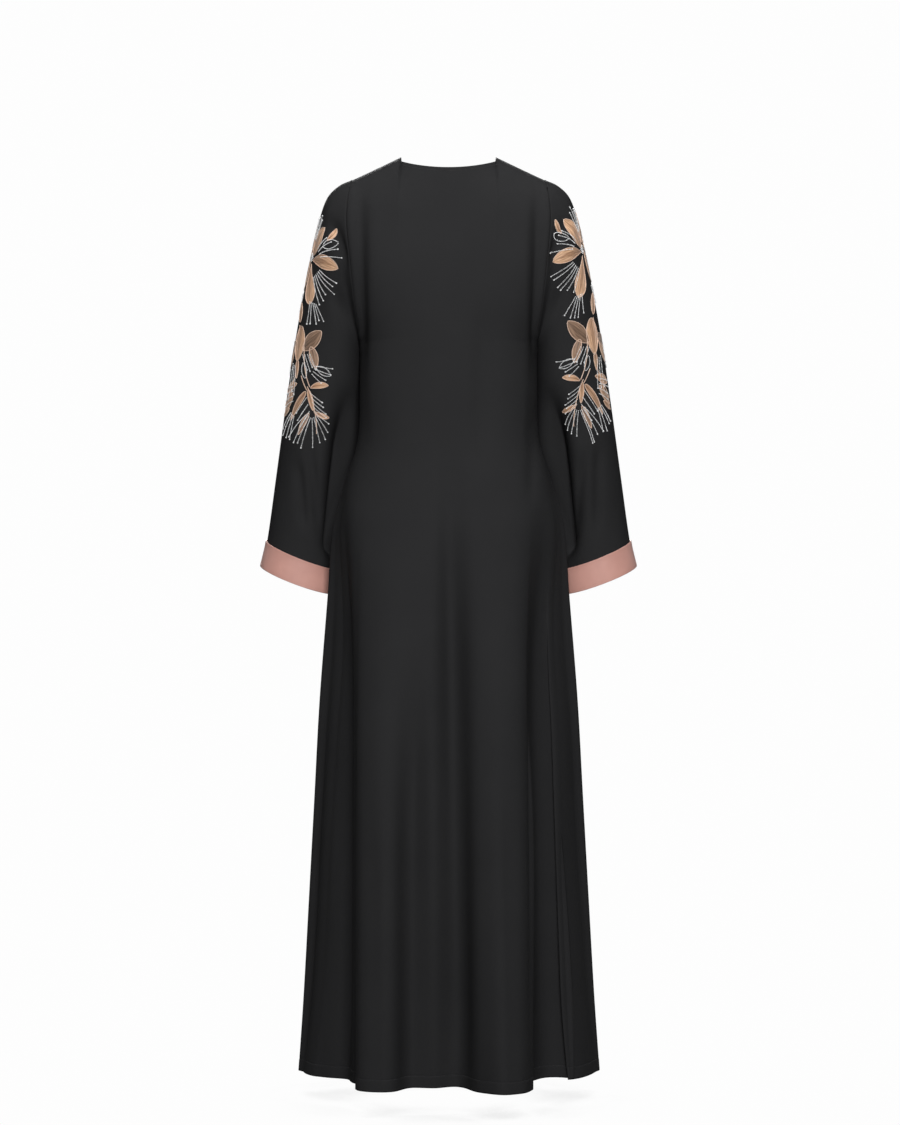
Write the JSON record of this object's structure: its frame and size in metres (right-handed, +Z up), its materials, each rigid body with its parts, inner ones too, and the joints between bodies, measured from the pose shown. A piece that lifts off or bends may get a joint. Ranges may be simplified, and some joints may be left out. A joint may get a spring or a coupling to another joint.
{
  "type": "abaya cloak",
  "caption": "Full-length A-line cloak with wide set-in sleeves, floral embroidery down the outer sleeves and pale turned cuffs, standing hollow in its worn shape.",
  "frame": {"origin": "middle of the neck opening at the height of the high shoulder points, where the wearer's shoulders carry the cloak", "axes": "+Z up, -Y towards the front of the wearer, +X towards the wearer's left"},
  "size_m": [0.6038, 0.4247, 1.4509],
  "materials": {
    "cloth": "matt black crepe",
    "cuff_cloth": "dusty rose satin",
    "embroidery": "tan and bronze satin-stitch thread",
    "beads": "silver-lined clear glass beads"
  },
  "bodies": {
    "root": {"back": "cloth", "front_left": "cloth", "front_right": "cloth", "sleeve_left": "cloth", "sleeve_right": "cloth", "cuff_left": "cuff_cloth", "cuff_right": "cuff_cloth"}
  },
  "joints": []
}
